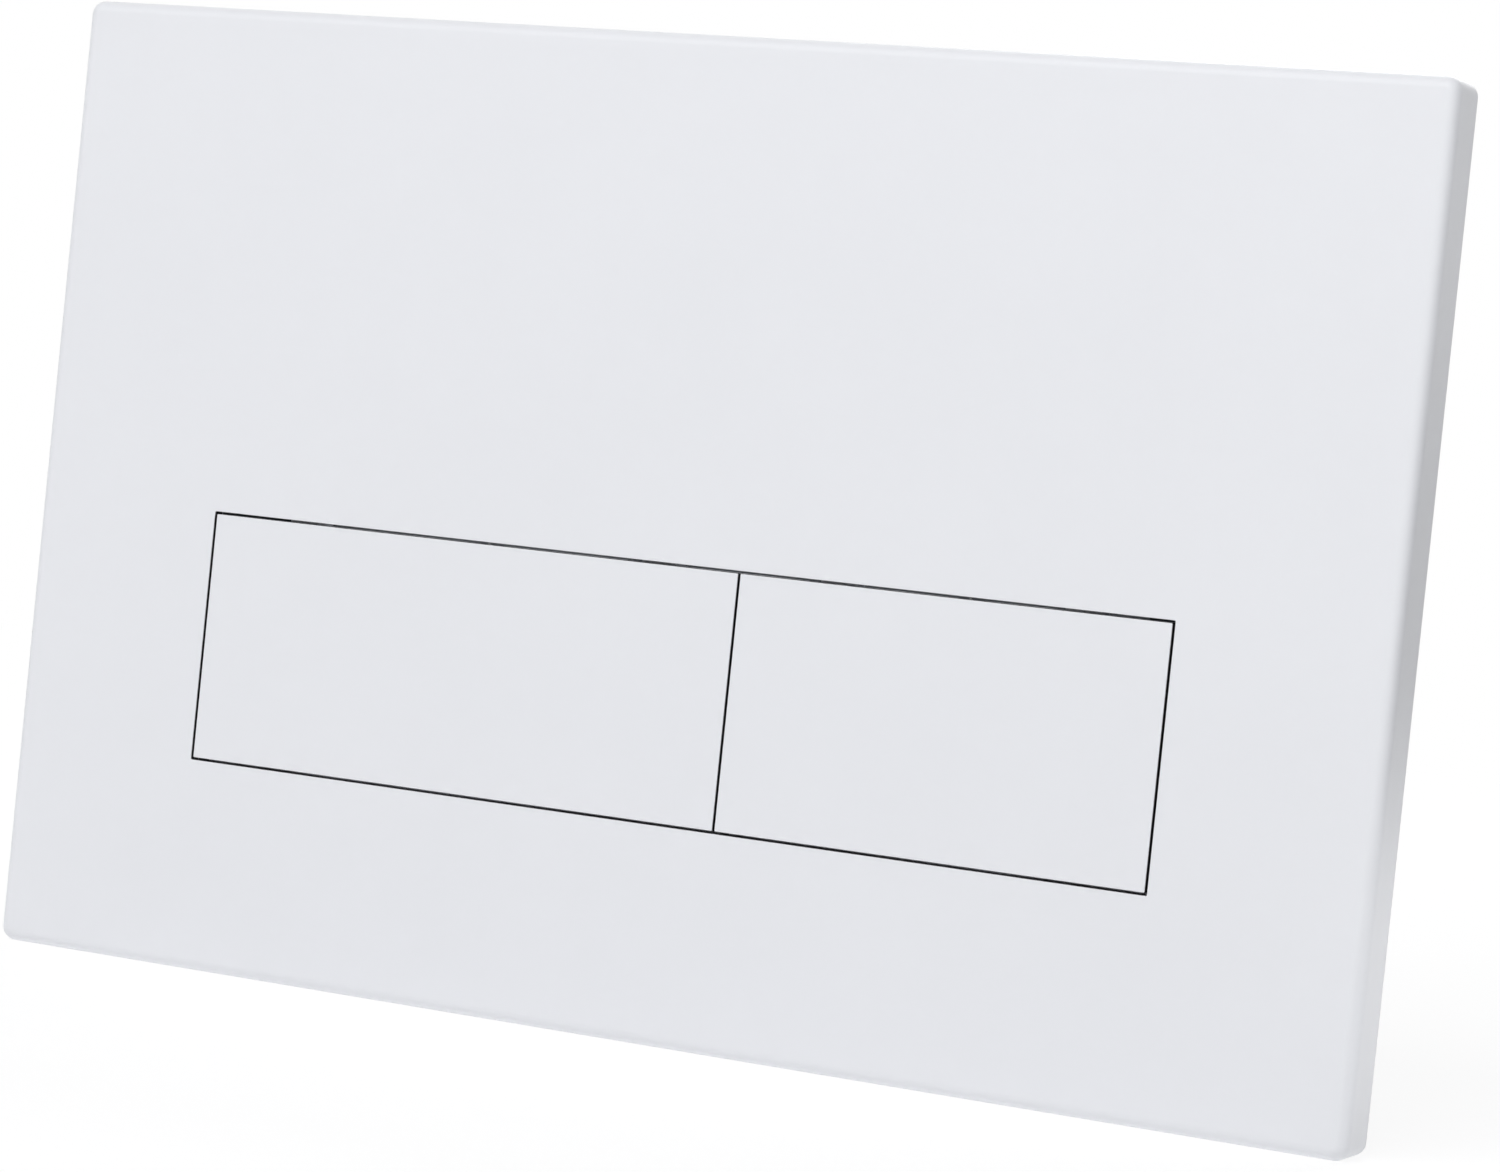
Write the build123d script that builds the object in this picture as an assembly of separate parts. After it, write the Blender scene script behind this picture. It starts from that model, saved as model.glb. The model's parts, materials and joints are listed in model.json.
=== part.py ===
from build123d import *
import math
import os

# Dual flush plate for a concealed cistern, in millimetres.
# X runs to the viewer's right, Y into the wall and Z up.
# The origin is the plate's centre on the wall plane.

# Cover plate
plate_width = 247.0
plate_height = 165.0
plate_depth = 10.0  # wall plane to front face
plate_wall = 2.5  # front wall and skirt
plate_edge_round = 2.0
plate_corner_extra = 0.4  # corner round over the edge round
plate_inner_round = 1.0
root_depth = 0.4  # how far a moulded detail reaches into the wall it stands on

# Opening for the buttons
side_margin = 36.0  # plate's edge to the opening, left and right
bottom_margin = 36.0  # plate's lower edge to the opening
opening_height = 42.75
opening_round = 0.2
opening_edge_round = 0.15
button_gap = 0.4  # all round each button

# Buttons
full_share = 0.5725  # full flush button's part of the two widths
button_wall = 2.2
button_skirt = 1.6
button_depth = 5.5  # front face to the back of the skirt
button_edge_round = 0.15
button_corner_extra = 0.05  # corner round over the edge round
button_rib_wall = 1.2
button_rib_height = 1.8
press_angle = 7.0  # degrees

# Hinges
pin_diameter = 2.0
pin_play = 0.05
pin_head_diameter = 3.6
pin_head_length = 1.0
pin_overhang = 1.2
knuckle_wall = 1.0
knuckle_clearance = 0.5  # knuckle to the plate's inner face
hinge_rise = 4.0  # axis above the opening's top edge
lug_wall = 1.2
lug_thickness = 2.5
arm_width = 6.0
arm_inset = 16.0  # arm's centre from the button's end
arm_foot = 6.0  # how far the arm runs down inside the button
hinge_side_play = 0.3

# Return springs
spring_wire = 0.7
spring_turns = 4
spring_turn_gap = 0.08
spring_pin_play = 0.2
spring_end_play = 0.3
spring_leg = 13.0
spring_seat_width = 4.0
spring_seat_height = 3.0
spring_seat_play = 0.05
spring_notch_play = 0.5

# Button stops
pad_width = 10.0
pad_height = 3.0
pad_thickness = 1.0
pad_edge_gap = 0.4  # pad below the opening's edge
pad_inset = 14.0  # pad's centre from the button's end
stop_lip_inset = 1.0  # lip's end from the button's end
stop_lip_wall = 1.5
stop_play = 0.05

# Cover ribs
rib_wall = 1.4
rib_height = 3.0
rib_count = 5
rib_end_gap = 5.0  # rib end to the plate's skirt
rib_spring_gap = 2.0  # long upper rib above the spring legs
rib_stop_gap = 7.0  # long lower rib below the opening

# Mounting frame
frame_margin = 12.0  # plate's skirt to the frame's edge
frame_round = 6.0
flange_width = 9.0
flange_thickness = 2.5
tub_depth = 14.0  # wall plane to the back of the floor
tub_wall = 2.0
tub_round = 5.0
tub_edge_round = 1.2  # round the back of the floor
floor_thickness = 2.5
window_margin = 8.0  # tub's inner wall to a window, above and below
window_side_margin = 25.0  # tub's inner wall to a window, left and right
window_guide_margin = 15.0  # push rod's axis to a lower window
window_strip = 22.0  # height of the strip that takes the studs
window_round = 3.0
frame_rib_wall = 1.6
frame_rib_height = 3.0
frame_rib_inset = 2.2  # rib's middle from a window's edge
frame_rib_count = 7  # ribs across the strip

# Snap hooks between the plate and the frame
hook_spacing = 120.0
hook_width = 12.0
hook_wall = 1.8
hook_gap = 0.4
hook_barb = 1.4
hook_lead = 3.5  # barb's length
catch_depth = 3.0  # barb's face behind the wall plane
catch_play = 0.3

# Push rods
rod_diameter = 8.0
rod_from_divider = 22.0
rod_from_edge = 10.5  # above the opening's lower edge
rod_reach = 52.0  # tip behind the wall plane
rod_tip_chamfer = 0.8
score_count = 6  # grooves where the rod is snapped to length
score_pitch = 3.0
score_width = 0.8
score_depth = 0.6
score_inset = 5.0  # last groove from the rod's tip
boss_diameter = 9.0
boss_stand = 0.9  # boss's tip behind the button's skirt
boss_dome_radius = 10.0
cap_play = 0.1  # boss to cap
cap_diameter = 13.0
cap_head = 2.0
cap_length = 5.0
cap_hub_wall = 1.6
cap_skin = 1.5  # cap's front over the rod's end
cap_thread_play = 0.05
guide_play = 0.15
guide_wall = 2.4
guide_clearance = 0.6  # cap to guide at full press
guide_length = 10.0  # behind the floor
guide_gusset = 5.0
guide_gusset_wall = 1.6
clip_thickness = 1.0
clip_width = 3.0
clip_mouth = 4.8
clip_play = 0.1
groove_depth = 1.0

# Fixing studs
stud_diameter = 8.0  # behind the frame
stud_neck_diameter = 6.0  # through the frame, washer and nut
stud_inset = 13.0  # stud's axis from the tub's inner wall
stud_reach = 58.0
stud_proud = 1.6
stud_chamfer = 0.6
stud_slot_play = 0.4
stud_slot_travel = 8.0
nut_diameter = 18.0
nut_thickness = 7.0
nut_thread_play = 0.05
nut_flutes = 12
nut_flute_diameter = 2.6
nut_collar_diameter = 11.0
nut_collar = 2.0
washer_diameter = 15.0
washer_thickness = 1.2
washer_play = 0.2

# Planes and places worked out from the sizes above
wall_y = 0.0
front_y = wall_y - plate_depth
inner_y = front_y + plate_wall
inner_width = plate_width - 2 * plate_wall
inner_height = plate_height - 2 * plate_wall
plate_corner_round = plate_edge_round + plate_corner_extra

opening_width = plate_width - 2 * side_margin
opening_bottom = bottom_margin - plate_height / 2
opening_top = opening_bottom + opening_height
opening_mid = (opening_bottom + opening_top) / 2

button_height = opening_height - 2 * button_gap
buttons_width = opening_width - 3 * button_gap
full_width = full_share * buttons_width
half_width = buttons_width - full_width
button_top = opening_top - button_gap
button_bottom = opening_bottom + button_gap
button_inner_y = front_y + button_wall
button_back_y = front_y + button_depth
button_round = button_edge_round + button_corner_extra
divider_x = -opening_width / 2 + button_gap + full_width + button_gap / 2

pin_radius = pin_diameter / 2
knuckle_radius = pin_radius + knuckle_wall
lug_radius = pin_radius + lug_wall
hinge_y = inner_y + knuckle_clearance + knuckle_radius
hinge_z = opening_top + hinge_rise
lug_offset = arm_width / 2 + hinge_side_play

coil_radius = pin_radius + spring_pin_play + spring_wire / 2
coil_pitch = spring_wire + spring_turn_gap
coil_length = spring_turns * coil_pitch
bay_half = (coil_length + spring_wire) / 2 + spring_end_play
leg_front_y = hinge_y - coil_radius - spring_wire / 2

stop_lip_y = inner_y + pad_thickness + stop_play
pad_top = opening_bottom - pad_edge_gap
pad_bottom = pad_top - pad_height

frame_width = inner_width - 2 * frame_margin
frame_height = inner_height - 2 * frame_margin
tub_width = frame_width - 2 * flange_width
tub_height = frame_height - 2 * flange_width
tub_inner_x = tub_width / 2 - tub_wall
tub_inner_z = tub_height / 2 - tub_wall
flange_y = wall_y - flange_thickness
tub_back_y = wall_y + tub_depth
floor_y = tub_back_y - floor_thickness
window_side = tub_inner_x - window_side_margin
window_reach = tub_inner_z - window_margin

rod_radius = rod_diameter / 2
rod_z = opening_bottom + rod_from_edge
rod_travel = math.radians(press_angle) * (hinge_z - rod_z)
boss_tip_y = button_back_y + boss_stand
cap_front_y = boss_tip_y + cap_play
cap_back_y = cap_front_y + cap_length
rod_front_y = cap_front_y + cap_skin
guide_front_y = cap_back_y + rod_travel + guide_clearance
guide_back_y = tub_back_y + guide_length
guide_bore = rod_radius + guide_play
guide_radius = guide_bore + guide_wall
clip_y = guide_back_y + clip_play
groove_radius = rod_radius - groove_depth

stud_x = tub_inner_x - stud_inset
stud_radius = stud_diameter / 2
neck_radius = stud_neck_diameter / 2
washer_y = floor_y - washer_thickness
nut_y = washer_y - nut_thickness

# Each button: name, centre and width along X, and the place of its push rod
buttons = [
    ("full_flush", divider_x - (full_width + button_gap) / 2, full_width, divider_x - rod_from_divider),
    ("half_flush", divider_x + (half_width + button_gap) / 2, half_width, divider_x + rod_from_divider),
]
sides = [("left", -1), ("right", 1)]


def along_y(outline, near, far):
    """Extrude an outline drawn in X and Z from y = near to y = far."""
    return extrude(Plane.XZ.offset(-near) * outline, far - near, dir=(0, 1, 0))


def along_x(profile, left, right):
    """Extrude a profile drawn in Y and Z from x = left to x = right."""
    return extrude(Plane.YZ.offset(left) * profile, right - left, dir=(1, 0, 0))


def oblong(low_a, high_a, low_b, high_b):
    """A rectangle between two pairs of limits."""
    middle = Pos((low_a + high_a) / 2, (low_b + high_b) / 2)
    return middle * Rectangle(high_a - low_a, high_b - low_b)


def disc(x, z, radius):
    return Pos(x, z) * Circle(radius)


def ends(centre, width, inset):
    """The two places at a distance from a button's ends."""
    reach = width / 2 - inset
    return [centre - reach, centre + reach]


def lug(left):
    """One hinge lug on the back of the plate."""
    foot = oblong(inner_y - root_depth, hinge_y, hinge_z - lug_radius, hinge_z + lug_radius)
    eye = disc(hinge_y, hinge_z, lug_radius)
    bore = disc(hinge_y, hinge_z, pin_radius + pin_play)
    return along_x(foot + eye - bore, left, left + lug_thickness)


def hinge_lugs(centre, width):
    """Lugs on both sides of each arm and of the spring."""
    lugs = []
    bays = [(x, lug_offset) for x in ends(centre, width, arm_inset)]
    bays.append((centre, bay_half))
    for place, half_gap in bays:
        lugs.append(lug(place - half_gap - lug_thickness))
        lugs.append(lug(place + half_gap))
    return lugs


def spring_seat(x, base_y, top_z):
    """A low ridge that one spring leg bears on."""
    outline = oblong(
        x - spring_seat_width / 2, x + spring_seat_width / 2, top_z - spring_seat_height, top_z
    )
    return along_y(outline, base_y - root_depth, leg_front_y - spring_seat_play)


def cover_ribs():
    """Stiffening ribs behind the plate: two long ones and rows of short ones."""
    upper = hinge_z + spring_leg + rib_spring_gap
    lower = opening_bottom - rib_stop_gap
    reach_x = inner_width / 2 - rib_end_gap
    reach_z = inner_height / 2 - rib_end_gap
    outlines = [
        oblong(-reach_x, reach_x, upper, upper + rib_wall),
        oblong(-reach_x, reach_x, lower - rib_wall, lower),
    ]
    for place in GridLocations(2 * reach_x / rib_count, 1, rib_count, 1):
        x = place.position.X
        outlines.append(oblong(x - rib_wall / 2, x + rib_wall / 2, upper, reach_z))
        outlines.append(oblong(x - rib_wall / 2, x + rib_wall / 2, -reach_z, lower))
    return [along_y(outline, inner_y - root_depth, inner_y + rib_height) for outline in outlines]


def snap_hooks():
    """Four hooks that catch in the walls of the mounting frame."""
    outer = tub_inner_z - hook_gap
    tip = catch_depth + hook_lead
    hooks = []
    for up in (1, -1):
        profile = Polygon(
            (inner_y - root_depth, up * (outer - hook_wall)),
            (inner_y - root_depth, up * outer),
            (catch_depth, up * outer),
            (catch_depth, up * (outer + hook_barb)),
            (tip, up * outer),
            (tip, up * (outer - hook_wall)),
            align=None,
        )
        for x in (-hook_spacing / 2, hook_spacing / 2):
            hooks.append(along_x(profile, x - hook_width / 2, x + hook_width / 2))
    return hooks


def cover_plate():
    """The moulded front plate with its skirt, opening, lugs, ribs and hooks."""
    block = along_y(RectangleRounded(plate_width, plate_height, plate_corner_round), front_y, wall_y)
    plate = fillet(block.faces().sort_by(Axis.Y)[0].edges(), plate_edge_round)
    plate -= along_y(RectangleRounded(inner_width, inner_height, plate_inner_round), inner_y, wall_y)
    opening = Pos(0, opening_mid) * RectangleRounded(opening_width, opening_height, opening_round)
    plate -= along_y(opening, front_y, inner_y)
    plate = fillet(plate.faces().sort_by(Axis.Y)[0].inner_wires()[0].edges(), opening_edge_round)
    for detail in cover_ribs() + snap_hooks():
        plate += detail
    for _, centre, width, _ in buttons:
        for detail in hinge_lugs(centre, width):
            plate += detail
        plate += spring_seat(centre - coil_length / 2, inner_y, hinge_z + spring_leg)
    return plate


def hinge_arm(x):
    """An arm from the button's back up to its knuckle on the hinge pin."""
    foot_z = button_top - arm_foot
    back = hinge_y + knuckle_radius
    profile = Polygon(
        (hinge_y - knuckle_radius, hinge_z),
        (hinge_y - knuckle_radius, button_top - button_skirt / 2),
        (button_inner_y - root_depth, button_top - button_skirt / 2),
        (button_inner_y - root_depth, foot_z - arm_foot / 2),
        (back, foot_z),
        (back, hinge_z),
        align=None,
    )
    profile += disc(hinge_y, hinge_z, knuckle_radius)
    profile -= disc(hinge_y, hinge_z, pin_radius + pin_play)
    return along_x(profile, x - arm_width / 2, x + arm_width / 2)


def stop_lip(centre, width):
    """A lip along the button's lower edge, which rests on the stop pads and covers the gap from behind."""
    reach = width / 2 - stop_lip_inset
    outline = oblong(centre - reach, centre + reach, pad_bottom, button_bottom + button_skirt / 2)
    return along_y(outline, stop_lip_y, stop_lip_y + stop_lip_wall)


def push_boss(x):
    """A round boss with a domed tip that presses the push rod's cap."""
    post = along_y(disc(x, rod_z, boss_diameter / 2), button_inner_y - root_depth, boss_tip_y)
    dome = Pos(x, boss_tip_y - boss_dome_radius, rod_z) * Sphere(boss_dome_radius)
    return post & dome


def button_ribs(centre, width):
    """A cross of low ribs behind the button's face."""
    reach = width / 2 - button_skirt / 2
    half = button_rib_wall / 2
    outlines = [oblong(centre - reach, centre + reach, rod_z - half, rod_z + half)]
    for x in ends(centre, width, arm_inset):
        outlines.append(oblong(x - half, x + half, button_bottom + button_skirt / 2, button_top - arm_foot))
    return [
        along_y(outline, button_inner_y - root_depth, button_inner_y + button_rib_height)
        for outline in outlines
    ]


def button(centre, width, rod_x):
    """One push button: a shallow cap with hinge arms, a stop lip and a boss."""
    middle = Pos(centre, opening_mid)
    block = along_y(middle * RectangleRounded(width, button_height, button_round), front_y, button_back_y)
    cap = fillet(block.faces().sort_by(Axis.Y)[0].edges(), button_edge_round)
    hollow = middle * Rectangle(width - 2 * button_skirt, button_height - 2 * button_skirt)
    cap -= along_y(hollow, button_inner_y, button_back_y)
    leg_x = centre + coil_length / 2
    notch_half = spring_seat_width / 2 + spring_notch_play
    notch = oblong(leg_x - notch_half, leg_x + notch_half, button_top - button_skirt, button_top)
    cap -= along_y(notch, leg_front_y - spring_notch_play, button_back_y)
    for detail in button_ribs(centre, width):
        cap += detail
    for x in ends(centre, width, arm_inset):
        cap += hinge_arm(x)
    cap += stop_lip(centre, width)
    cap += push_boss(rod_x)
    cap += spring_seat(leg_x, button_inner_y, hinge_z - spring_leg + spring_seat_height)
    return cap


def hinge_pin(centre, width):
    """A steel pin through all the lugs of one button, with a flat head."""
    reach = width / 2 - arm_inset + lug_offset + lug_thickness + pin_overhang
    head_x = centre - reach
    pin = along_x(disc(hinge_y, hinge_z, pin_radius), head_x, centre + reach)
    return pin + along_x(disc(hinge_y, hinge_z, pin_head_diameter / 2), head_x, head_x + pin_head_length)


def return_spring(centre):
    """A torsion spring round the hinge pin, with one leg up and one leg down."""
    start = Plane(
        origin=(centre - coil_length / 2, hinge_y, hinge_z), x_dir=(0, -1, 0), z_dir=(1, 0, 0)
    )
    coil = start * Helix(coil_pitch, coil_length, coil_radius)
    first = Plane(origin=coil @ 0, z_dir=coil % 0) * Circle(spring_wire / 2)
    last = Plane(origin=coil @ 1, z_dir=coil % 1) * Circle(spring_wire / 2)
    wire = sweep(first, path=coil, is_frenet=True)
    wire += extrude(first, -spring_leg)
    wire += extrude(last, spring_leg)
    return wire


def stop_pads(centre, width):
    """The rubber pads behind the plate that one button rests on."""
    pads = []
    for x in ends(centre, width, pad_inset):
        outline = oblong(x - pad_width / 2, x + pad_width / 2, pad_bottom, pad_top)
        pads.append(along_y(outline, inner_y, inner_y + pad_thickness))
    return Compound(pads)


def frame_windows():
    """Outlines of the service window and of the two windows beside the rod guides."""
    guides = [rod_x for _, _, _, rod_x in buttons]
    limits = [
        (-window_side, window_side, window_strip / 2, window_reach),
        (-window_side, min(guides) - window_guide_margin, -window_reach, -window_strip / 2),
        (max(guides) + window_guide_margin, window_side, -window_reach, -window_strip / 2),
    ]
    outlines = []
    for left, right, low, high in limits:
        middle = Pos((left + right) / 2, (low + high) / 2)
        outlines.append(middle * RectangleRounded(right - left, high - low, window_round))
    return outlines


def frame_ribs():
    """Ribs on the back of the floor: a border round the windows and a ladder along the strip."""
    half = frame_rib_wall / 2
    border_x = window_side + frame_rib_inset
    border_z = window_reach + frame_rib_inset
    rail_z = window_strip / 2 - frame_rib_inset
    outlines = []
    for z in (-border_z, -rail_z, rail_z, border_z):
        outlines.append(oblong(-border_x - half, border_x + half, z - half, z + half))
    for x in (-border_x, border_x):
        outlines.append(oblong(x - half, x + half, -border_z, border_z))
    for place in GridLocations(2 * border_x / frame_rib_count, 1, frame_rib_count, 1):
        x = place.position.X
        outlines.append(oblong(x - half, x + half, -rail_z, rail_z))
    return [
        along_y(outline, tub_back_y - root_depth, tub_back_y + frame_rib_height)
        for outline in outlines
    ]


def rod_guide(x):
    """A guide tube on the frame's floor with four gussets behind it."""
    guide = along_y(disc(x, rod_z, guide_radius), guide_front_y, guide_back_y)
    reach = guide_radius + guide_gusset
    profile = Polygon((-reach, 0), (reach, 0), (0, guide_length), align=None)
    upright = Plane(origin=(x, tub_back_y - root_depth, rod_z), x_dir=(1, 0, 0), z_dir=(0, 0, 1))
    across = Plane(origin=(x, tub_back_y - root_depth, rod_z), x_dir=(0, 0, 1), z_dir=(-1, 0, 0))
    for plane in (upright, across):
        guide += extrude(plane * profile, guide_gusset_wall / 2, both=True)
    return guide


def mounting_frame():
    """The moulded frame: a flange on the wall and a tub in the wall opening."""
    tub = along_y(RectangleRounded(tub_width, tub_height, tub_round), flange_y, tub_back_y)
    frame = fillet(tub.faces().sort_by(Axis.Y)[-1].edges(), tub_edge_round)
    frame += along_y(RectangleRounded(frame_width, frame_height, frame_round), flange_y, wall_y)
    hollow = RectangleRounded(2 * tub_inner_x, 2 * tub_inner_z, tub_round - tub_wall)
    frame -= along_y(hollow, flange_y, floor_y)
    for rib in frame_ribs():
        frame += rib
    for outline in frame_windows():
        frame -= along_y(outline, floor_y, tub_back_y)
    for _, _, _, rod_x in buttons:
        frame += rod_guide(rod_x)
        frame -= along_y(disc(rod_x, rod_z, guide_bore), guide_front_y, guide_back_y)
    slot_width = stud_neck_diameter + 2 * stud_slot_play
    for _, side in sides:
        slot = Pos(side * stud_x, 0) * SlotOverall(slot_width + stud_slot_travel, slot_width)
        frame -= along_y(slot, floor_y, tub_back_y)
        x = side * hook_spacing / 2
        catch_half = hook_width / 2 + catch_play
        catch = oblong(x - catch_half, x + catch_half, -tub_height / 2, tub_height / 2)
        frame -= along_y(catch, catch_depth - catch_play, catch_depth + hook_lead + catch_play)
    return frame


def push_rod(x):
    """A turned rod: a groove for its clip, snap-off grooves and a chamfered tip."""
    outline = [
        (rod_front_y, 0),
        (rod_front_y, rod_radius),
        (clip_y, rod_radius),
        (clip_y, groove_radius),
        (clip_y + clip_thickness, groove_radius),
        (clip_y + clip_thickness, rod_radius),
    ]
    for index in reversed(range(score_count)):
        y = rod_reach - score_inset - index * score_pitch
        outline += [
            (y - score_width / 2, rod_radius),
            (y, rod_radius - score_depth),
            (y + score_width / 2, rod_radius),
        ]
    outline += [
        (rod_reach - rod_tip_chamfer, rod_radius),
        (rod_reach, rod_radius - rod_tip_chamfer),
        (rod_reach, 0),
    ]
    half_section = Plane(origin=(x, 0, rod_z), x_dir=(0, 1, 0), z_dir=(1, 0, 0))
    return revolve(half_section * Polygon(*outline, align=None), Axis((x, 0, rod_z), (0, 1, 0)))


def rod_cap(x):
    """A screw cap on the rod's front end, which sets the rod's length."""
    hub_radius = rod_radius + cap_thread_play + cap_hub_wall
    cap = along_y(disc(x, rod_z, hub_radius), cap_front_y, cap_back_y)
    cap += along_y(disc(x, rod_z, cap_diameter / 2), cap_front_y, cap_front_y + cap_head)
    return cap - along_y(disc(x, rod_z, rod_radius + cap_thread_play), rod_front_y, cap_back_y)


def rod_clip(x):
    """An open clip in the rod's groove, which stops the rod at the guide."""
    ring = disc(x, rod_z, groove_radius + clip_width) - disc(x, rod_z, groove_radius)
    mouth = oblong(x - clip_mouth / 2, x + clip_mouth / 2, rod_z - groove_radius - clip_width, rod_z)
    return along_y(ring - mouth, clip_y, clip_y + clip_thickness)


def fixing_stud(x):
    """A threaded stud at its outer diameters, with a shoulder behind the frame."""
    stud = along_y(disc(x, 0, stud_radius), tub_back_y, stud_reach)
    stud += along_y(disc(x, 0, neck_radius), nut_y - stud_proud, tub_back_y)
    tips = stud.faces().filter_by(Axis.Y).sort_by(Axis.Y)
    return chamfer(tips[0].edges() + tips[-1].edges(), stud_chamfer)


def thumb_nut(x):
    """A fluted nut with a round collar, turned by hand from the front."""
    grip = disc(x, 0, nut_diameter / 2)
    for flute in PolarLocations(nut_diameter / 2, nut_flutes):
        grip -= Pos(x, 0) * flute * Circle(nut_flute_diameter / 2)
    nut = along_y(grip, nut_y, washer_y - nut_collar)
    nut += along_y(disc(x, 0, nut_collar_diameter / 2), washer_y - nut_collar, washer_y)
    return nut - along_y(disc(x, 0, neck_radius + nut_thread_play), nut_y, washer_y)


def stud_washer(x):
    ring = disc(x, 0, washer_diameter / 2) - disc(x, 0, neck_radius + washer_play)
    return along_y(ring, washer_y, floor_y)


def pieces():
    """Every piece of the plate by its name."""
    made = {"cover_plate": cover_plate(), "mounting_frame": mounting_frame()}
    for name, centre, width, rod_x in buttons:
        made[f"{name}_button"] = button(centre, width, rod_x)
        made[f"{name}_hinge_pin"] = hinge_pin(centre, width)
        made[f"{name}_return_spring"] = return_spring(centre)
        made[f"{name}_stop_pads"] = stop_pads(centre, width)
        made[f"{name}_push_rod"] = push_rod(rod_x)
        made[f"{name}_rod_cap"] = rod_cap(rod_x)
        made[f"{name}_rod_clip"] = rod_clip(rod_x)
    for name, side in sides:
        made[f"{name}_fixing_stud"] = fixing_stud(side * stud_x)
        made[f"{name}_thumb_nut"] = thumb_nut(side * stud_x)
        made[f"{name}_stud_washer"] = stud_washer(side * stud_x)
    return made


os.makedirs("parts", exist_ok=True)
for node, shape in pieces().items():
    export_step(shape, f"parts/{node}.step")
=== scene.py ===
import json
import math

import bmesh
import bpy
from mathutils import Euler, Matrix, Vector


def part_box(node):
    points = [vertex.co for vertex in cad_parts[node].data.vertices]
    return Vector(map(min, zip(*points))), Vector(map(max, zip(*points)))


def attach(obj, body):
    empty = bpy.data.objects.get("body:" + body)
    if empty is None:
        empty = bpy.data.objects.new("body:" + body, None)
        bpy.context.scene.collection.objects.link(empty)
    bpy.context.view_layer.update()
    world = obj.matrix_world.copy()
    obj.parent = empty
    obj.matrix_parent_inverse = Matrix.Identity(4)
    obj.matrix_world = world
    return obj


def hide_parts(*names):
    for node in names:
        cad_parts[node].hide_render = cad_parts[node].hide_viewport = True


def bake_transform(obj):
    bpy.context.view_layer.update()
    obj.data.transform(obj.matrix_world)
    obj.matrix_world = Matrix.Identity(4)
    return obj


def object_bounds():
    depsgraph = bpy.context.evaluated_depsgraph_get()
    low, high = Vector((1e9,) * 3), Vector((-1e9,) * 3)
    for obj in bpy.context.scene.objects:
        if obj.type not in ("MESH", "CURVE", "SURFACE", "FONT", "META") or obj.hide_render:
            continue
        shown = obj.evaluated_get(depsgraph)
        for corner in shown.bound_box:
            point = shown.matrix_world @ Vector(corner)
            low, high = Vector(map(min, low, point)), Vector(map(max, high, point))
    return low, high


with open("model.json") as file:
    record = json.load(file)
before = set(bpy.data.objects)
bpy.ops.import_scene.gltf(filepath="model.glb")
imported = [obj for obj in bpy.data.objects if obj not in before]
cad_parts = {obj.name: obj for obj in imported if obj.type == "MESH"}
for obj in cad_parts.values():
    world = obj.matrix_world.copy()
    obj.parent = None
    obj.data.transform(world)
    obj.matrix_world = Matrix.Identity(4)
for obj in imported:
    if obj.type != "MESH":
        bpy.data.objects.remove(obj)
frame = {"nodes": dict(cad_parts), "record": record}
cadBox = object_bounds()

scene = bpy.context.scene
mm = 0.001  # sizes below are in millimetres unless a note says otherwise
wallPlane = 0.0  # depth of the plate's back edge
plateCentre = (0.0, 0.0, 0.0)


# small helpers for the finishes
noiseDetail = dict(plain=2.0, grain=3.0, patches=4.0)
noiseSpan = (0.3, 0.7)  # most of a noise lies between these
wholeSpan = (0.0, 1.0)
colourMix = dict(factor=0, first=6, second=7, result=2)  # sockets of a mix node that is set to colours


def newFinish(name):
    finish = bpy.data.materials.new(name)
    finish.use_nodes = True
    return finish, finish.node_tree, finish.node_tree.nodes["Principled BSDF"]


def addNode(tree, kind, **values):
    node = tree.nodes.new(kind)
    for socket, value in values.items():
        node.inputs[socket].default_value = value
    return node


def noiseOn(tree, size, detail=noiseDetail["plain"], stretch=(1.0, 1.0, 1.0)):
    # noise whose lumps are about as large as the size says
    place = addNode(tree, "ShaderNodeTexCoord")
    scale = addNode(tree, "ShaderNodeMapping", Scale=stretch)
    noise = addNode(tree, "ShaderNodeTexNoise", Scale=1.0 / (size * mm), Detail=detail)
    tree.links.new(place.outputs["Object"], scale.inputs["Vector"])
    tree.links.new(scale.outputs["Vector"], noise.inputs["Vector"])
    return noise.outputs["Fac"]


def blendTones(tree, factor, tones, span=noiseSpan):
    ramp = addNode(tree, "ShaderNodeValToRGB")
    for stop, tone, at in zip(ramp.color_ramp.elements, tones, span):
        stop.color = (*tone, 1.0)
        stop.position = at
    tree.links.new(factor, ramp.inputs["Fac"])
    return ramp.outputs["Color"]


def spread(tree, factor, low, high, span=noiseSpan):
    band = addNode(tree, "ShaderNodeMapRange")
    limits = {"From Min": span[0], "From Max": span[1], "To Min": low, "To Max": high}
    for socket, value in limits.items():
        band.inputs[socket].default_value = value
    tree.links.new(factor, band.inputs["Value"])
    return band.outputs["Result"]


def roughen(tree, shader, factor, height, strength):
    bump = addNode(tree, "ShaderNodeBump", Strength=strength, Distance=height * mm)
    tree.links.new(factor, bump.inputs["Height"])
    tree.links.new(bump.outputs["Normal"], shader.inputs["Normal"])


def combine(tree, operation, first, second):
    result = addNode(tree, "ShaderNodeMath")
    result.operation = operation
    tree.links.new(first, result.inputs[0])
    tree.links.new(second, result.inputs[1])
    return result.outputs["Value"]


def seenDirectly(tree):
    # 1 where the camera looks, also by way of metal or glass
    path = addNode(tree, "ShaderNodeLightPath")
    seen = path.outputs["Is Camera Ray"]
    for ray in ("Is Glossy Ray", "Is Transmission Ray"):
        seen = combine(tree, "MAXIMUM", seen, path.outputs[ray])
    return seen


def openness(tree, gap):
    # 0 deep in slits and grooves narrower than the reach, 1 in the open
    near = addNode(tree, "ShaderNodeAmbientOcclusion", Distance=gap["reach"] * mm)
    near.samples = gap["rays"]
    return spread(tree, near.outputs["AO"], *wholeSpan, gap["span"])


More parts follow.
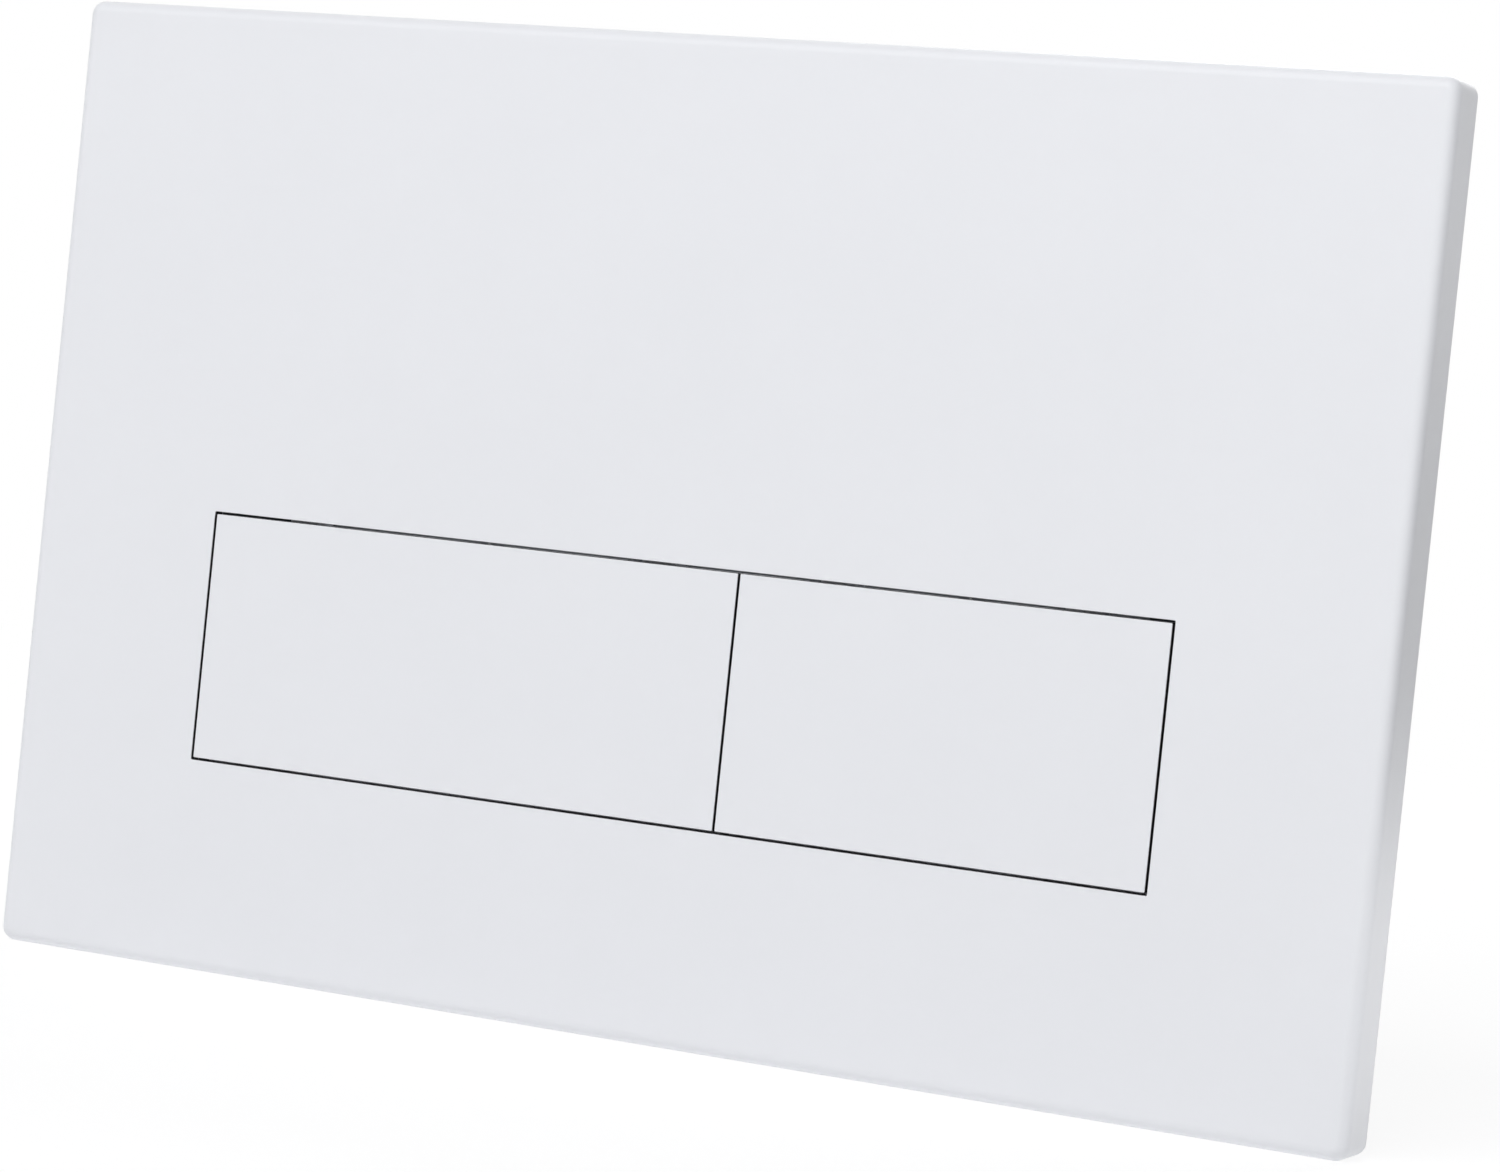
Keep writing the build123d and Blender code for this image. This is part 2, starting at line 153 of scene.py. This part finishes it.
def darken(tree, tone, clear, shade):
    mix = addNode(tree, "ShaderNodeMix")
    mix.data_type = "RGBA"
    mix.inputs[colourMix["first"]].default_value = (*shade, 1.0)
    tree.links.new(clear, mix.inputs[colourMix["factor"]])
    tree.links.new(tone, mix.inputs[colourMix["second"]])
    return mix.outputs[colourMix["result"]]


def shadeGaps(tree, tone, gap):
    # painted shade in the slits, but not on the hidden side or the lower edge, which stands on the floor
    place = addNode(tree, "ShaderNodeTexCoord")
    axes = addNode(tree, "ShaderNodeSeparateXYZ")
    tree.links.new(place.outputs["Object"], axes.inputs["Vector"])
    lowEdge = spread(tree, axes.outputs["Z"], 1.0, 0.0, [height * mm for height in gap["lowEdge"]])
    hidden = spread(tree, axes.outputs["Y"], 0.0, 1.0, [depth * mm for depth in gap["hidden"]])
    clear = combine(tree, "MAXIMUM", openness(tree, gap), lowEdge)
    clear = combine(tree, "MAXIMUM", clear, hidden)
    return darken(tree, tone, clear, gap["tone"])


def mouldedPlastic(name, look):
    finish, tree, shader = newFinish(name)
    drift = noiseOn(tree, look["driftSize"])
    grain = noiseOn(tree, look["grainSize"], noiseDetail["grain"])
    tone = blendTones(tree, drift, look["tones"])
    if "gap" in look:
        tone = shadeGaps(tree, tone, look["gap"])
    tree.links.new(tone, shader.inputs["Base Color"])
    tree.links.new(spread(tree, grain, *look["rough"]), shader.inputs["Roughness"])
    roughen(tree, shader, grain, look["grainHeight"], look["grainStrength"])
    shader.inputs["IOR"].default_value = look["ior"]
    return finish


def platedSteel(name, look):
    finish, tree, shader = newFinish(name)
    patches = noiseOn(tree, look["patchSize"], noiseDetail["patches"])
    lines = noiseOn(tree, look["lineSize"], stretch=look["lineStretch"])
    tone = blendTones(tree, patches, look["tones"])
    # painted shade in the thread roots, darker where a point is less open
    if "groove" in look:
        tone = darken(tree, tone, openness(tree, look["groove"]), look["groove"]["tone"])
    tree.links.new(tone, shader.inputs["Base Color"])
    tree.links.new(spread(tree, lines, *look["rough"]), shader.inputs["Roughness"])
    roughen(tree, shader, lines, look["lineHeight"], look["lineStrength"])
    shader.inputs["Metallic"].default_value = 1.0
    return finish


whitePlastic = dict(
    tones=((0.838, 0.846, 0.876), (0.846, 0.854, 0.884)),
    driftSize=30.0,
    grainSize=0.7,
    grainHeight=0.02,
    grainStrength=0.05,
    rough=(0.34, 0.42),
    ior=1.46,
    # painted shade: nearly black deep in the slits round the buttons
    gap=dict(
        reach=0.7,
        span=(0.60, 0.95),
        tone=(0.012, 0.012, 0.013),
        rays=12,
        lowEdge=(-70.0, -64.0),  # heights
        hidden=(-7.9, -7.6),  # depths, just in front of the plate's inner face
    ),
)
framePlastic = dict(
    tones=((0.292, 0.302, 0.322), (0.312, 0.322, 0.342)),
    driftSize=24.0,
    grainSize=0.35,
    grainHeight=0.03,
    grainStrength=0.25,
    rough=(0.46, 0.60),
    ior=1.46,
)
rodPlastic = dict(
    tones=((0.74, 0.73, 0.68), (0.79, 0.78, 0.74)),
    driftSize=6.0,
    grainSize=0.5,
    grainHeight=0.02,
    grainStrength=0.15,
    rough=(0.36, 0.48),
    ior=1.48,
)
nutPlastic = dict(
    tones=((0.045, 0.050, 0.058), (0.065, 0.071, 0.080)),
    driftSize=5.0,
    grainSize=0.3,
    grainHeight=0.03,
    grainStrength=0.3,
    rough=(0.44, 0.58),
    ior=1.46,
)
zincSteel = dict(
    tones=((0.42, 0.43, 0.44), (0.54, 0.55, 0.56)),
    patchSize=2.5,
    lineSize=0.25,
    lineStretch=(1.0, 0.15, 1.0),
    lineHeight=0.01,
    lineStrength=0.2,
    rough=(0.30, 0.44),
    # painted shade: dark in the thread roots
    groove=dict(reach=0.8, span=(0.55, 0.95), tone=(0.10, 0.10, 0.10), rays=8),
)
springWire = dict(
    tones=((0.34, 0.34, 0.35), (0.48, 0.48, 0.49)),
    patchSize=1.2,
    lineSize=0.08,
    lineStretch=(1.0, 1.0, 0.1),
    lineHeight=0.004,
    lineStrength=0.2,
    rough=(0.22, 0.34),
)
padRubber = dict(
    tones=((0.016, 0.016, 0.018), (0.028, 0.028, 0.031)),
    driftSize=2.0,
    grainSize=0.2,
    grainHeight=0.03,
    grainStrength=0.5,
    rough=(0.72, 0.86),
    ior=1.5,
)

finishes = {
    "white_plastic": mouldedPlastic("satinWhite", whitePlastic),
    "frame_plastic": mouldedPlastic("frameGrey", framePlastic),
    "rod_plastic": mouldedPlastic("rodNatural", rodPlastic),
    "nut_plastic": mouldedPlastic("nutCharcoal", nutPlastic),
    "steel": platedSteel("zincSteel", zincSteel),
    "spring_steel": platedSteel("springWire", springWire),
    "rubber": mouldedPlastic("padRubber", padRubber),
}
print("finishes", len(finishes))

# the CAD pieces keep their shapes and take the finishes
for part in frame["record"]["subparts"]:
    piece = frame["nodes"][part["node"]]
    piece.data.materials.clear()
    piece.data.materials.append(finishes[part["material_slot"]])


# a finished mesh that stands for a CAD piece and takes its finish
def standFor(node, name, shape, slot, sharpAngle):
    mesh = bpy.data.meshes.new(name)
    shape.to_mesh(mesh)
    shape.free()
    mesh.shade_smooth()
    mesh.set_sharp_from_angle(angle=math.radians(sharpAngle))
    mesh.materials.append(finishes[slot])
    piece = bpy.data.objects.new(name, mesh)
    scene.collection.objects.link(piece)
    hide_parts(node)
    return piece


def nodeBox(node):
    low, high = (Vector(corner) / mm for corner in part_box(node))
    return low, high, (low + high) / 2


# threaded studs in place of the plain ones
studThread = dict(
    shoulder=14.0,  # where the thick rear thread starts, behind the frame
    neckRadius=3.0,
    rear=dict(pitch=1.25, cut=0.68),
    neck=dict(pitch=1.0, cut=0.55),
    around=48,
    weld=0.0005,
    rimReach=0.01,
    sharpAngle=30.0,  # degrees
    stations=((0.0, 0.0), (0.125, 0.0), (0.4375, 1.0), (0.6875, 1.0)),  # share of pitch, share of cut
)


def threadSleeve(shape, axis, start, end, radius, thread):
    # rows follow the thread's slope, so crests and roots stay sharp
    around = studThread["around"]
    stations = studThread["stations"]
    pitch = thread["pitch"]
    root = radius - thread["cut"]
    turns = math.ceil((end - start) / pitch) + 2  # with spare rows, which the ends cut off
    rows = []
    for turn in range(-1, turns):
        for share, depth in stations:
            row = []
            for step in range(around):
                along = start + pitch * (turn + share + step / around)
                free = start < along < end
                reach = radius - thread["cut"] * depth if free else root
                angle = 2 * math.pi * step / around
                across = axis[0] + reach * math.cos(angle)
                up = axis[1] + reach * math.sin(angle)
                row.append(shape.verts.new(Vector((across, min(max(along, start), end), up)) * mm))
            rows.append(row)
    for index in range(len(rows) - len(stations) - 1):
        for step in range(around):
            here = rows[index]
            above = rows[index + 1]
            if step + 1 < around:
                corners = (here[step], here[step + 1], above[step + 1], above[step])
            else:
                # the seam joins each row to the row one turn on
                onward = rows[index + len(stations)]
                further = rows[index + len(stations) + 1]
                corners = (here[step], onward[0], further[0], above[step])
            shape.faces.new(corners)


def threadedStud(name, node):
    low, high, middle = nodeBox(node)
    axis = (middle.x, middle.z)
    shoulder = studThread["shoulder"]
    shape = bmesh.new()
    threadSleeve(shape, axis, low.y, shoulder, studThread["neckRadius"], studThread["neck"])
    threadSleeve(shape, axis, shoulder, high.y, (high.x - low.x) / 2, studThread["rear"])
    bmesh.ops.remove_doubles(shape, verts=shape.verts, dist=studThread["weld"] * mm)
    bmesh.ops.dissolve_degenerate(shape, edges=shape.edges, dist=studThread["weld"] * mm)
    loose = [vert for vert in shape.verts if not vert.link_faces]
    bmesh.ops.delete(shape, geom=loose, context="VERTS")
    rims = [edge for edge in shape.edges if edge.is_boundary]
    # the two threads meet at the shoulder, and the ends are closed
    reach = studThread["rimReach"] * mm
    shoulderRims = [edge for edge in rims if abs(edge.verts[0].co.y - shoulder * mm) < reach]
    bmesh.ops.bridge_loops(shape, edges=shoulderRims)
    bmesh.ops.holes_fill(shape, edges=[edge for edge in rims if edge.is_valid and edge.is_boundary])
    bmesh.ops.recalc_face_normals(shape, faces=shape.faces)
    stud = standFor(node, name, shape, "steel", studThread["sharpAngle"])
    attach(stud, "plate")


studSides = ("left", "right")
for side in studSides:
    threadedStud(f"{side}_threaded_stud", f"{side}_fixing_stud")
print("threaded studs", len(studSides))

# wound springs
returnSpring = dict(
    wire=0.7,
    pitch=0.78,
    turns=4,
    leg=13.0,
    stepsPerTurn=36,
    sides=14,
    sharpAngle=40.0,  # degrees
)


def springWireShape(middle, radius):
    # the upper leg, the coil round the hinge pin and the lower leg in one wire
    spec = returnSpring
    steps = spec["turns"] * spec["stepsPerTurn"]
    slope = Vector((spec["pitch"] / (2 * math.pi * radius), 0.0, -1.0)).normalized()
    stations = []
    for step in range(steps + 1):
        along = spec["pitch"] * (step / spec["stepsPerTurn"] - spec["turns"] / 2)
        angle = 2 * math.pi * step / spec["stepsPerTurn"]
        outward = Vector((0.0, -math.cos(angle), -math.sin(angle)))
        forward = Vector((slope.x, -slope.z * math.sin(angle), slope.z * math.cos(angle)))
        stations.append((middle + Vector((along, 0.0, 0.0)) + outward * radius, outward, forward))
    first, last = stations[0], stations[-1]
    stations.insert(0, (first[0] - slope * spec["leg"], *first[1:]))
    stations.append((last[0] + slope * spec["leg"], *last[1:]))
    shape = bmesh.new()
    rings = []
    for place, outward, forward in stations:
        across = forward.cross(outward)
        ring = []
        for side in range(spec["sides"]):
            angle = 2 * math.pi * side / spec["sides"]
            reach = outward * math.cos(angle) + across * math.sin(angle)
            ring.append(shape.verts.new((place + reach * spec["wire"] / 2) * mm))
        rings.append(ring)
    for here, onward in zip(rings, rings[1:]):
        for side in range(spec["sides"]):
            after = (side + 1) % spec["sides"]
            shape.faces.new((here[side], here[after], onward[after], onward[side]))
    shape.faces.new(rings[0])
    shape.faces.new(rings[-1])
    bmesh.ops.recalc_face_normals(shape, faces=shape.faces)
    return shape


def woundSpring(name, node):
    low, high, middle = nodeBox(node)
    radius = (high.y - low.y - returnSpring["wire"]) / 2
    shape = springWireShape(middle, radius)
    spring = standFor(node, name, shape, "spring_steel", returnSpring["sharpAngle"])
    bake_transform(spring)


flushes = ("full", "half")
for flush in flushes:
    woundSpring(f"{flush}_flush_wound_spring", f"{flush}_flush_return_spring")
print("wound springs", len(flushes))

# camera at the photo's place
photoCamera = dict(
    place=(0.3147, -0.64407, 0.01285),  # metres
    turn=(88.456, -5.861, 25.476),  # degrees
    lens=104.417,
    sensor=36.0,
)
cameraData = bpy.data.cameras.new("photoCamera")
cameraData.lens = photoCamera["lens"]
cameraData.sensor_width = photoCamera["sensor"]
cameraData.sensor_fit = "HORIZONTAL"
camera = bpy.data.objects.new("photoCamera", cameraData)
camera.location = photoCamera["place"]
camera.rotation_euler = Euler([math.radians(angle) for angle in photoCamera["turn"]])
scene.collection.objects.link(camera)
scene.camera = camera
print("camera", tuple(camera.location))

# floor under the plate's lower edge, white to the camera and keeping the shadow near the plate
floorSpec = dict(
    size=6.0,  # metres
    tone=(0.80, 0.80, 0.80),
    rough=0.9,
    cloudSize=400.0,
    cloudLevels=(0.99, 1.01),
    lampShare=(0.30, 0.0),  # of the lamps' light on it that is seen, near the plate and far from it
    glow=(0.82, 1.0),  # near and far
    fade=(0.35, 1.1),  # metres
    edgeGlow=0.27,  # glow of the floor under the plate, unseen by the camera, which lights the plate's lower edge
    edgeRim=0.2,
)


def underPlate(tree, rim):
    # 1 on the floor under the plate, as far back as the wall plane, and 0 beside it
    low, high = nodeBox("cover_plate")[:2]
    place = addNode(tree, "ShaderNodeTexCoord")
    axes = addNode(tree, "ShaderNodeSeparateXYZ")
    tree.links.new(place.outputs["Object"], axes.inputs["Vector"])
    sides = []
    for axis, first, last in (("X", low.x, high.x), ("Y", low.y, wallPlane)):
        sides.append(spread(tree, axes.outputs[axis], 0.0, 1.0, ((first - rim) * mm, first * mm)))
        sides.append(spread(tree, axes.outputs[axis], 1.0, 0.0, (last * mm, (last + rim) * mm)))
    under = sides[0]
    for side in sides[1:]:
        under = combine(tree, "MULTIPLY", under, side)
    return under


def floorFinish(spec):
    finish, tree, shader = newFinish("paleFloor")
    shader.inputs["Roughness"].default_value = spec["rough"]
    shader.inputs["Specular IOR Level"].default_value = 0.0
    shader.inputs["Emission Color"].default_value = (1.0, 1.0, 1.0, 1.0)
    place = addNode(tree, "ShaderNodeTexCoord")
    away = addNode(tree, "ShaderNodeVectorMath")
    away.operation = "LENGTH"
    tree.links.new(place.outputs["Object"], away.inputs[0])
    seen = seenDirectly(tree)
    far = spread(tree, away.outputs["Value"], *wholeSpan, spec["fade"])
    glow = combine(tree, "MULTIPLY", seen, spread(tree, far, *spec["glow"], wholeSpan))
    # a glowing strip of floor under the plate lights its lower edge; the camera doesn't see this glow
    under = spread(tree, underPlate(tree, spec["edgeRim"]), 0.0, spec["edgeGlow"], wholeSpan)
    edge = combine(tree, "MULTIPLY", spread(tree, seen, 1.0, 0.0, wholeSpan), under)
    tree.links.new(combine(tree, "ADD", glow, edge), shader.inputs["Emission Strength"])
    # what is seen far from the plate is plain white, with no lamp light added to it
    cloud = noiseOn(tree, spec["cloudSize"])
    tones = [[shade * level for shade in spec["tone"]] for level in spec["cloudLevels"]]
    unseen = spread(tree, far, *[1.0 - share for share in spec["lampShare"]], wholeSpan)
    lit = spread(tree, combine(tree, "MULTIPLY", seen, unseen), 1.0, 0.0, wholeSpan)
    tone = addNode(tree, "ShaderNodeVectorMath")
    tone.operation = "SCALE"
    tree.links.new(blendTones(tree, cloud, tones), tone.inputs["Vector"])
    tree.links.new(lit, tone.inputs["Scale"])
    tree.links.new(tone.outputs["Vector"], shader.inputs["Base Color"])
    return finish


def layFloor(spec):
    reach = spec["size"] / 2
    level = cadBox[0][2]
    mesh = bpy.data.meshes.new("floor")
    corners = [(-reach, -reach), (reach, -reach), (reach, reach), (-reach, reach)]
    mesh.from_pydata([(*corner, level) for corner in corners], [], [(0, 1, 2, 3)])
    mesh.materials.append(floorFinish(spec))
    floor = bpy.data.objects.new("floor", mesh)
    scene.collection.objects.link(floor)


layFloor(floorSpec)
print("floor at", cadBox[0][2])

# room light: white where it is seen or mirrored, softer where it lights
roomSpec = dict(seen=1.0, light=0.15, seenTone=(1.0, 1.0, 1.0), lightTone=(0.97, 0.985, 1.025))


def lightRoom(spec):
    room = bpy.data.worlds.new("room")
    room.use_nodes = True
    scene.world = room
    tree = room.node_tree
    glow = tree.nodes["Background"]
    seen = seenDirectly(tree)
    tones = (spec["lightTone"], spec["seenTone"])
    tree.links.new(spread(tree, seen, spec["light"], spec["seen"], wholeSpan), glow.inputs["Strength"])
    tree.links.new(blendTones(tree, seen, tones), glow.inputs["Color"])


lightRoom(roomSpec)
print("room light", roomSpec["light"])

# lamps: place, aim and size in metres, power in watts, cone in degrees
softLamps = dict(
    keyLamp=dict(place=(-0.45, -2.6, 1.6), size=2.6, power=60.8, tone=(0.995, 0.998, 1.0)),
    rightLamp=dict(place=(1.5, -2.0, 0.5), size=1.0, power=7.0, tone=(0.995, 0.998, 1.0)),
    topLamp=dict(place=(0.0, 0.2, 2.2), size=2.2, power=10.0, tone=(1.0, 1.0, 1.0)),
    backLamp=dict(place=(-0.25, 2.3, 1.9), size=1.6, power=30.0, tone=(1.0, 1.0, 1.0)),
)
# two narrow lamps lift both ends of the right side, as light off a table and a wall does
sideLamps = dict(
    lowLamp=dict(place=(0.80, 0.30, -0.055), aim=(0.1235, -0.004, -0.057), power=6.9, cone=6.2),
    highLamp=dict(place=(0.80, 0.02, 0.160), aim=(0.1235, -0.004, 0.078), power=1.2, cone=9.0),
)
sideLampSize = 0.02
sideLampBlend = 0.8


def hangLamp(name, kind, spec):
    lampData = bpy.data.lights.new(name, kind)
    lampData.energy = spec["power"]
    lamp = bpy.data.objects.new(name, lampData)
    lamp.location = spec["place"]
    aim = Vector(spec.get("aim", plateCentre)) - Vector(spec["place"])
    lamp.rotation_euler = aim.to_track_quat("-Z", "Y").to_euler()
    lamp.visible_camera = False
    lamp.visible_glossy = kind == "AREA"  # the narrow lamps leave no glints
    scene.collection.objects.link(lamp)
    return lampData


for name, spec in softLamps.items():
    lampData = hangLamp(name, "AREA", spec)
    lampData.shape = "SQUARE"
    lampData.size = spec["size"]
    lampData.color = spec["tone"]
for name, spec in sideLamps.items():
    lampData = hangLamp(name, "SPOT", spec)
    lampData.shadow_soft_size = sideLampSize
    lampData.spot_size = math.radians(spec["cone"])
    lampData.spot_blend = sideLampBlend
print("lamps", len(softLamps) + len(sideLamps))

scene.view_settings.view_transform = "Standard"
